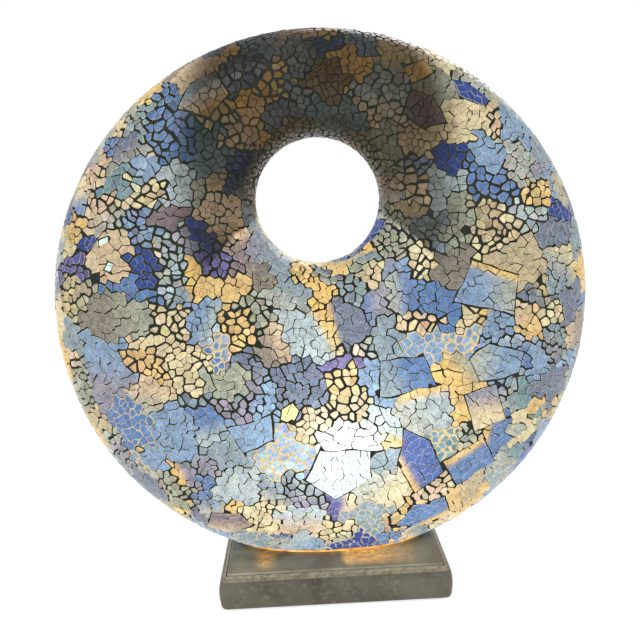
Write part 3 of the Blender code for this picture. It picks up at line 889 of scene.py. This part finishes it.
def build_mosaic():
    rng = np.random.default_rng(SEED)
    shards = Shards(rng)
    for half, sign in (("front", -1), ("rear", 1)):
        node = f"mosaic_{half}"
        mine = [i for i in range(len(shards.points)) if shards.points[i][1] * sign >= 0]
        for side, hand in (("left", -1), ("right", 1)):
            members = [i for i in mine if shards.glass[i] is not None and shards.points[i][0] * hand >= 0]
            add_glass(f"glass_{half}_{side}", node, shards, members, rng)
        beds = [i for i in mine if shards.bed[i] is not None]
        add_bed(f"crack_bed_{half}", node, shards, beds)
        add_grout(f"grout_{half}", node, sign)


# ---- materials -----------------------------------------------------------------------------
class Nodes:
    """Short ways to build a material's node tree."""

    def __init__(self, name, **sockets):
        self.material = bpy.data.materials.new(name)
        self.material.use_nodes = True
        self.tree = self.material.node_tree
        self.shader = self.tree.nodes["Principled BSDF"]
        for label, value in sockets.items():
            self.shader.inputs[label.replace("_", " ")].default_value = value
        self.coords = self.add("ShaderNodeTexCoord").outputs["Object"]

    def add(self, kind, **settings):
        node = self.tree.nodes.new(kind)
        for key, value in settings.items():
            setattr(node, key, value)
        return node

    def link(self, source, target):
        self.tree.links.new(source, target)

    def put(self, source, label):
        self.link(source, self.shader.inputs[label])

    def noise(self, scale, detail=3.0, rough=0.5, distortion=0.0):
        node = self.add("ShaderNodeTexNoise")
        for label, value in (("Scale", scale), ("Detail", detail), ("Roughness", rough),
                             ("Distortion", distortion)):
            node.inputs[label].default_value = value
        self.link(self.coords, node.inputs["Vector"])
        return node.outputs["Fac"]

    def cells(self, scale, feature="F1"):
        node = self.add("ShaderNodeTexVoronoi", feature=feature)
        node.inputs["Scale"].default_value = scale
        self.link(self.coords, node.inputs["Vector"])
        return node.outputs["Distance"]

    def ramp(self, source, low, high, start=0.0, end=1.0):
        """Takes low..high to start..end, and stays within them."""
        node = self.add("ShaderNodeMapRange", clamp=True)
        for label, value in (("From Min", low), ("From Max", high), ("To Min", start), ("To Max", end)):
            node.inputs[label].default_value = value
        self.link(source, node.inputs["Value"])
        return node.outputs["Result"]

    def band(self, source, edges, level=1.0):
        """Rises from 0 to 1 between the first two edges; falls from level to 0 between the others."""
        rise = self.ramp(source, edges[0], edges[1])
        return self.math("MULTIPLY", rise, self.ramp(source, edges[2], edges[3], level, 0.0))

    def math(self, operation, a, b):
        node = self.add("ShaderNodeMath", operation=operation)
        for socket, value in zip(node.inputs, (a, b)):
            if isinstance(value, (int, float)):
                socket.default_value = value
            else:
                self.link(value, socket)
        return node.outputs["Value"]

    def blend(self, fac, a, b, mode="MIX"):
        """Mixes two colours, given as sockets or as linear triples."""
        node = self.add("ShaderNodeMix", data_type="RGBA", blend_type=mode)
        for socket, value in ((node.inputs[0], fac), (node.inputs[6], a), (node.inputs[7], b)):
            if isinstance(value, (int, float)):
                socket.default_value = value
            elif isinstance(value, bpy.types.NodeSocket):
                self.link(value, socket)
            else:
                socket.default_value = (*value, 1.0)
        return node.outputs[2]

    def scaled(self, colour, factor):
        """A colour socket times a number socket."""
        node = self.add("ShaderNodeVectorMath", operation="SCALE")
        self.link(colour, node.inputs[0])
        self.link(factor, node.inputs["Scale"])
        return node.outputs["Vector"]

    def attribute(self, name):
        node = self.add("ShaderNodeAttribute", attribute_name=name)
        return node.outputs["Color"]

    def ledge_wear(self, fine):
        """How much rubbed silver and painted highlight the slab shows: only on its sloping ledge, which
        faces up, in streaks.
        """
        axes = self.add("ShaderNodeSeparateXYZ")
        self.link(self.coords, axes.inputs["Vector"])
        high = self.ramp(axes.outputs["Z"], LEDGE_Z, LEDGE_Z + 0.6 * MM)
        return self.math("MULTIPLY", high, self.ramp(fine, 0.35, 0.6, 0.25, 0.9))

    def bump(self, source, strength, distance):
        node = self.add("ShaderNodeBump")
        node.inputs["Strength"].default_value = strength
        node.inputs["Distance"].default_value = distance
        self.link(source, node.inputs["Height"])
        self.put(node.outputs["Normal"], "Normal")


def glass_material():
    """Cast glass, lit through: its grain, streaks and specks stay the same on every shard."""
    n = Nodes("crackle_glass", Roughness=0.22, IOR=1.5, Specular_IOR_Level=0.28, Emission_Strength=1.0)
    grain = n.ramp(n.noise(1500, 2.0), 0.3, 0.7, 0.88, 1.12)
    cloud = n.ramp(n.noise(190, 4.0, 0.6, 0.4), 0.3, 0.7, 0.78, 1.22)
    speck = n.ramp(n.cells(620), 0.06, 0.16, 0.0, 1.0)
    rare = n.ramp(n.noise(130, 2.0), 0.52, 0.62, 1.0, 0.0)
    speck = n.ramp(n.math("MAXIMUM", speck, rare), 0.0, 1.0, 0.50, 1.0)
    hairline = n.ramp(n.cells(310, "DISTANCE_TO_EDGE"), 0.015, 0.06, 0.62, 1.0)
    detail = n.math("MULTIPLY", n.math("MULTIPLY", grain, cloud), n.math("MULTIPLY", speck, hairline))
    n.put(n.scaled(n.attribute("glow"), detail), "Emission Color")
    dark = n.ramp(cloud, 0.8, 1.2, 0.05, 0.10)
    n.put(n.scaled(n.attribute("tint"), dark), "Base Color")
    n.put(n.ramp(n.noise(420, 3.0), 0.3, 0.7, 0.18, 0.38), "Roughness")
    n.bump(n.noise(330, 3.0, 0.55), 0.25, 0.0004)
    return n.material


def bed_material():
    n = Nodes("clear_adhesive", Roughness=0.5, Emission_Strength=1.0)
    detail = n.ramp(n.noise(700, 3.0), 0.3, 0.7, 0.6, 1.2)
    n.put(n.scaled(n.attribute("glow"), detail), "Emission Color")
    n.put(n.scaled(n.attribute("tint"), n.ramp(detail, 0.6, 1.2, 0.2, 0.4)), "Base Color")
    n.bump(n.noise(900, 2.0), 0.4, 0.0003)
    return n.material


def grout_material():
    n = Nodes("dark_grout", Roughness=0.9, Specular_IOR_Level=0.2)
    sand = n.noise(1300, 4.0, 0.65)
    patches = n.noise(60, 2.0)
    colour = n.blend(n.ramp(patches, 0.35, 0.65), (0.010, 0.016, 0.011), (0.024, 0.028, 0.022))
    colour = n.blend(n.ramp(sand, 0.5, 0.75), colour, (0.05, 0.055, 0.045))
    n.put(colour, "Base Color")
    n.bump(sand, 0.6, 0.0004)
    return n.material


def silver_material(name, dark, pale, lit=False):
    """Cast metal with an antique silver finish: brown in its hollows, pale where hands rub it and, on the
    slab's upward-facing ledge, a painted highlight.
    """
    n = Nodes(name, Metallic=0.45)
    blotch = n.noise(26, 4.0, 0.6, 0.8)
    fine = n.noise(260, 5.0, 0.65)
    grit = n.noise(1100, 3.0, 0.6)
    colour = n.blend(n.ramp(blotch, 0.36, 0.66), dark, pale)
    colour = n.blend(n.ramp(fine, 0.52, 0.75, 0.0, 0.35), colour, (0.34, 0.31, 0.24))
    colour = n.blend(n.ramp(blotch, 0.30, 0.38, 0.6, 0.0), colour, (0.055, 0.036, 0.020))
    # the slab's sloping ledge turns pale silver in streaks: rubbed wear and a painted highlight
    if not lit:
        colour = n.blend(n.ledge_wear(fine), colour, LEDGE_RUB_AND_HIGHLIGHT)
    n.put(colour, "Base Color")
    n.put(n.ramp(fine, 0.3, 0.7, 0.34, 0.60), "Roughness")
    height = n.math("ADD", n.math("MULTIPLY", fine, 0.6), n.math("MULTIPLY", grit, 0.2))
    n.bump(height, 0.35, 0.0005)
    if lit:
        add_seat_glow(n)
    return n.material


def add_seat_glow(n):
    """Amber light that the shade's seat throws on the panel, strongest just right of the middle."""
    axes = n.add("ShaderNodeSeparateXYZ")
    n.link(n.coords, axes.inputs["Vector"])
    near = n.band(axes.outputs["Y"], SEAT_GLOW_Y)
    patch = n.band(axes.outputs["X"], SEAT_GLOW_X)
    left_spot = n.band(axes.outputs["X"], SEAT_SPOT_X, SEAT_SPOT_LEVEL)
    mask = n.math("MULTIPLY", n.math("ADD", patch, left_spot), near)
    ripple = n.ramp(n.noise(240, 4.0, 0.6), 0.35, 0.7, 0.35, 1.25)
    amount = n.math("MULTIPLY", mask, ripple)
    warm = n.add("ShaderNodeRGB")
    warm.outputs[0].default_value = SEAT_GLOW_COLOUR
    n.put(n.scaled(warm.outputs[0], amount), "Emission Color")
    n.shader.inputs["Emission Strength"].default_value = SEAT_GLOW_LEVEL


def gasket_material():
    n = Nodes("amber_silicone", Roughness=0.4, Emission_Strength=0.9)
    shade = n.noise(140, 3.0)
    n.put(n.blend(n.ramp(shade, 0.35, 0.65), (0.45, 0.16, 0.02), (0.85, 0.45, 0.10)), "Base Color")
    n.put(n.blend(n.ramp(shade, 0.35, 0.65), (0.55, 0.20, 0.02), (1.0, 0.62, 0.20)), "Emission Color")
    return n.material


def plain_material(name, low, high, rough, metallic=0.0, scale=300, height=0.0002):
    """A hard material whose colour and gloss vary a little: low and high are its two colours."""
    n = Nodes(name, Metallic=metallic)
    grain = n.noise(scale, 4.0, 0.6)
    n.put(n.blend(n.ramp(grain, 0.35, 0.65), low, high), "Base Color")
    n.put(n.ramp(grain, 0.3, 0.7, rough * 0.8, min(rough * 1.25, 1.0)), "Roughness")
    n.bump(grain, 0.3, height)
    return n.material


def clear_glass_material():
    n = Nodes("clear_glass", Roughness=0.02, IOR=1.5, Transmission_Weight=1.0)
    ripple = n.noise(90, 2.0)
    n.put(n.blend(n.ramp(ripple, 0.3, 0.7), (0.93, 0.95, 0.94), (1.0, 1.0, 1.0)), "Base Color")
    return n.material


def filament_material():
    n = Nodes("lit_filament", Roughness=0.5, Emission_Strength=6.0)
    band = n.noise(900, 2.0)
    n.put(n.blend(n.ramp(band, 0.3, 0.7), (0.9, 0.55, 0.15), (1.0, 0.75, 0.35)), "Base Color")
    n.put(n.blend(n.ramp(band, 0.3, 0.7), (1.0, 0.62, 0.25), (1.0, 0.82, 0.5)), "Emission Color")
    return n.material


GLASS_MATERIAL = glass_material()
BED_MATERIAL = bed_material()
GROUT_MATERIAL = grout_material()


def dress_nodes():
    """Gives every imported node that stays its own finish."""
    by_slot = {
        "shade_resin": plain_material("cream_resin", (0.70, 0.64, 0.52), (0.80, 0.76, 0.66), 0.35),
        "amber_silicone": gasket_material(),
        "plated_steel": plain_material("zinc_plate", (0.42, 0.42, 0.40), (0.62, 0.62, 0.60), 0.35, 1.0),
        "felt": plain_material("black_felt", (0.010, 0.010, 0.010), (0.035, 0.034, 0.033), 0.95,
                               scale=1400, height=0.0006),
        "black_rubber": plain_material("black_rubber", (0.012, 0.012, 0.012), (0.03, 0.03, 0.03), 0.6),
        "black_phenolic": plain_material("phenolic", (0.012, 0.010, 0.009), (0.03, 0.026, 0.022), 0.3),
        "cream_ceramic": plain_material("ceramic", (0.66, 0.62, 0.52), (0.80, 0.77, 0.70), 0.2),
        "brass": plain_material("brass", (0.56, 0.38, 0.14), (0.75, 0.55, 0.25), 0.28, 1.0),
        "tin_solder": plain_material("solder", (0.45, 0.45, 0.44), (0.7, 0.7, 0.68), 0.35, 1.0),
        "black_glass": plain_material("vitrite", (0.006, 0.006, 0.009), (0.02, 0.02, 0.025), 0.1),
        "nickel_cap": plain_material("nickel", (0.52, 0.50, 0.45), (0.70, 0.68, 0.62), 0.25, 1.0),
        "bulb_glass": clear_glass_material(),
        "filament": filament_material(),
    }
    own = {
        "plinth_slab": silver_material("silver_slab", (0.075, 0.064, 0.044), (0.135, 0.122, 0.090)),
        "plinth_top_panel": silver_material("silver_panel", (0.19, 0.165, 0.115), (0.38, 0.345, 0.26),
                                            lit=True),
    }
    slots = {part["node"]: part["material_slot"] for part in frame["record"]["subparts"]}
    for name, obj in frame["nodes"].items():
        finish = own.get(name) or by_slot.get(slots[name])
        if finish is None:
            continue
        if not obj.material_slots:
            obj.data.materials.append(finish)
        for place in obj.material_slots:
            place.material = finish


# ---- stage, lights and camera --------------------------------------------------------------
def add_floor():
    bpy.ops.mesh.primitive_circle_add(vertices=96, radius=6.0, fill_type="NGON", location=(0, 0, 0))
    floor = bpy.context.object
    floor.name = "floor"
    n = Nodes("pale_floor", Roughness=0.75, Emission_Strength=FLOOR_LIFT, Specular_IOR_Level=0.2)
    tone = n.noise(3.0, 2.0)
    n.put(n.blend(n.ramp(tone, 0.3, 0.7), (0.83, 0.83, 0.83), (0.86, 0.86, 0.86)), "Base Color")
    n.put(n.blend(n.ramp(tone, 0.3, 0.7), (0.97, 0.97, 0.97), (1.0, 1.0, 1.0)), "Emission Color")
    floor.data.materials.append(n.material)


def add_area_light(name, place, aim, size, power, colour=(1.0, 1.0, 1.0)):
    light = bpy.data.lights.new(name, "AREA")
    light.size = size
    light.energy = power
    light.color = colour
    obj = bpy.data.objects.new(name, light)
    bpy.context.scene.collection.objects.link(obj)
    obj.location = place
    obj.rotation_euler = (Vector(aim) - Vector(place)).to_track_quat("-Z", "Y").to_euler()


def add_lights():
    world = bpy.data.worlds.new("studio")
    bpy.context.scene.world = world
    world.use_nodes = True
    tree = world.node_tree
    back = tree.nodes["Background"]
    back.inputs["Color"].default_value = (1.0, 1.0, 1.0, 1.0)
    ray = tree.nodes.new("ShaderNodeLightPath")
    level = tree.nodes.new("ShaderNodeMapRange")
    level.inputs["To Min"].default_value = STUDIO_LEVEL
    level.inputs["To Max"].default_value = 1.0
    tree.links.new(ray.outputs["Is Camera Ray"], level.inputs["Value"])
    tree.links.new(level.outputs["Result"], back.inputs["Strength"])
    middle = (0, 0, DISC_Z)
    add_area_light("key", (-0.9, -1.5, 1.5), middle, 1.1, 16)
    add_area_light("fill", (1.4, -1.2, 0.7), middle, 1.2, 6)
    add_area_light("glint", (-0.75, -1.1, 0.75), middle, 0.10, 2.0, (0.85, 0.97, 1.0))
    add_area_light("back", (0.6, 1.6, 1.3), middle, 1.1, 12)


def add_camera():
    """The camera stands a little left of the lamp's middle and looks slightly down and right."""
    data = bpy.data.cameras.new("camera")
    data.lens = CAMERA_LENS
    data.sensor_width = CAMERA_SENSOR
    camera = bpy.data.objects.new("camera", data)
    bpy.context.scene.collection.objects.link(camera)
    turn = Matrix.Rotation(math.radians(CAMERA_TURN), 4, "Z")
    down = Matrix.Rotation(math.radians(90 - CAMERA_DOWN), 4, "X")
    roll = Matrix.Rotation(math.radians(CAMERA_ROLL), 4, "Z")
    camera.matrix_world = Matrix.Translation(CAMERA_PLACE) @ turn @ down @ roll
    bpy.context.scene.camera = camera


add_camera()
add_floor()
add_lights()
bpy.context.scene.view_settings.view_transform = "Standard"
build_mosaic()
dress_nodes()
